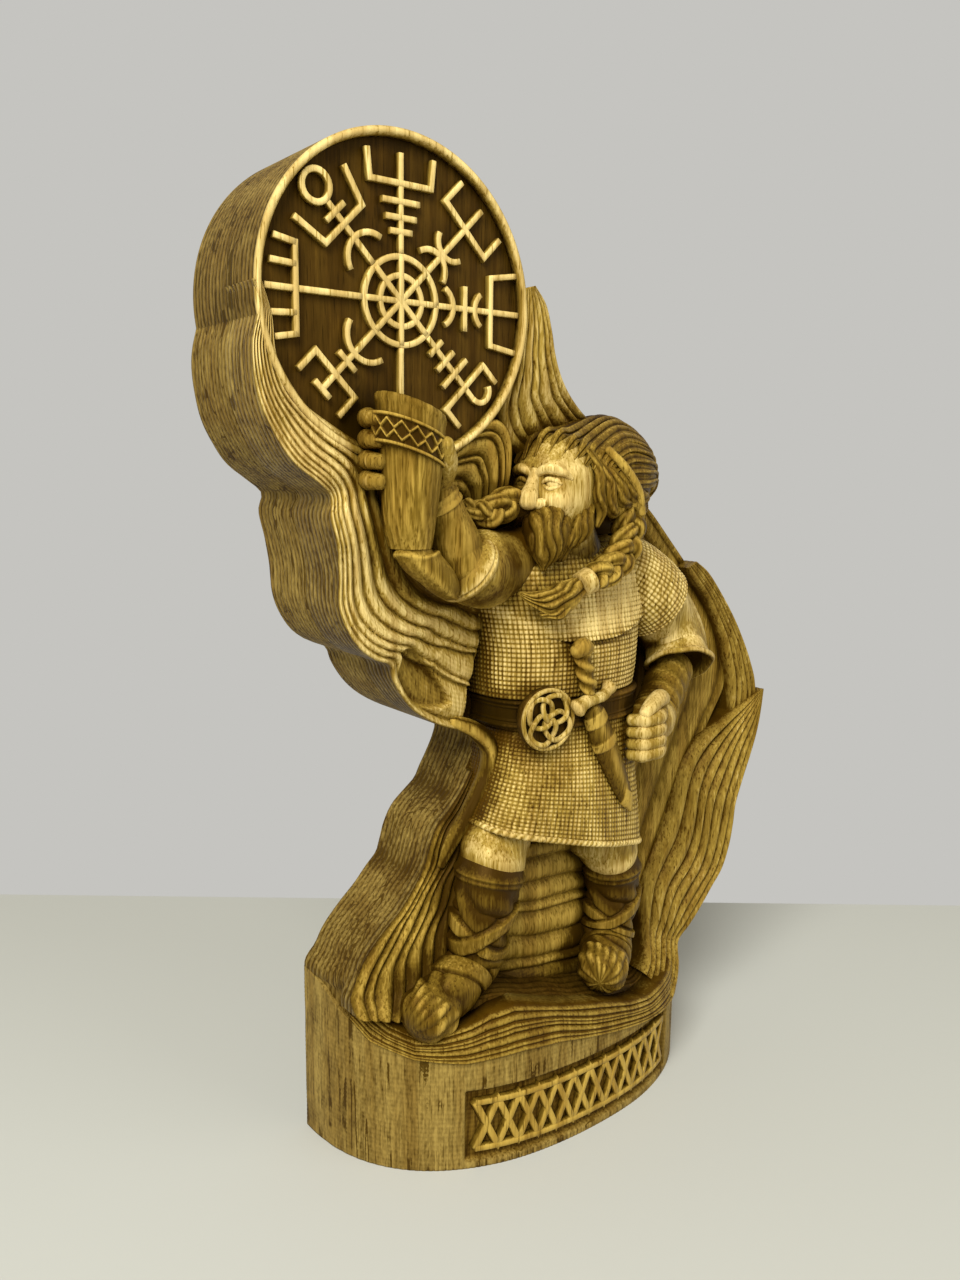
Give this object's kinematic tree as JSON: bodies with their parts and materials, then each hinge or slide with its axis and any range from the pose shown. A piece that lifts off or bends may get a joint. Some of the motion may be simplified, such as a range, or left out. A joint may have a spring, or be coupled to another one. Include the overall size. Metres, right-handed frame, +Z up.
{
  "type": "carved wooden dwarf figurine",
  "caption": "Carved ash dwarf in mail raising a horn to a compass disc, standing before a wave-edged slab with a flat back on a half-round plinth.",
  "frame": {"origin": "middle of the plinth's flat underside, on the blank's centre plane", "axes": "+Z up, +Y towards the flat back, +X to the viewer's right"},
  "size_m": [0.205, 0.0585, 0.3],
  "materials": {
    "ash_sanded": "stained, then sanded back on the tops, satin wax",
    "ash_toned": "half stained, satin wax",
    "ash_stained": "dark stain left in the hollows, satin wax",
    "ash_sawn": "cutter-stepped side walls, thin stain, matt wax"
  },
  "bodies": {
    "root": {"base_plinth": "ash_sawn", "plinth_band": "ash_toned", "disc_body": "ash_stained", "disc_rim": "ash_sanded", "slab_foot": "ash_sawn", "slab_hip": "ash_sawn", "slab_waist": "ash_sawn", "slab_breast": "ash_sawn", "slab_crown": "ash_sawn", "compass_rings": "ash_sanded", "stave_north": "ash_sanded", "stave_north_east": "ash_sanded", "stave_east": "ash_sanded", "stave_south_east": "ash_sanded", "stave_south": "ash_sanded", "stave_south_west": "ash_sanded", "stave_west": "ash_sanded", "stave_north_west": "ash_sanded", "horn": "ash_toned", "horn_tip": "ash_toned", "horn_band": "ash_stained", "right_hand": "ash_sanded", "right_forearm": "ash_toned", "right_sleeve": "ash_sanded", "buckle_plate": "ash_stained", "buckle_knot": "ash_sanded", "dagger_grip": "ash_toned", "dagger_guard": "ash_sanded", "scabbard": "ash_stained", "left_fist": "ash_sanded", "left_forearm": "ash_toned", "left_sleeve": "ash_sanded", "belt": "ash_stained", "torso_mail": "ash_sanded", "mail_skirt": "ash_sanded", "beard": "ash_toned", "head": "ash_sanded", "braid_ring": "ash_sanded", "braid_tuft": "ash_toned", "left_braid": "ash_toned", "right_braid": "ash_toned", "hair": "ash_toned", "left_leg": "ash_sanded", "left_boot": "ash_toned", "right_leg": "ash_sanded", "right_boot": "ash_toned", "rim_waves": "ash_sanded", "ground": "ash_stained", "ground_swirl": "ash_toned", "neck_strand": "ash_toned", "left_wave_upper": "ash_sanded", "left_wave_middle": "ash_sanded", "left_wave_lower": "ash_sanded", "arch_waves": "ash_toned", "disc_flame": "ash_sanded", "fan_strands": "ash_toned", "right_tongue": "ash_sanded", "right_leaf": "ash_sanded", "right_mantle": "ash_toned"}
  },
  "joints": []
}
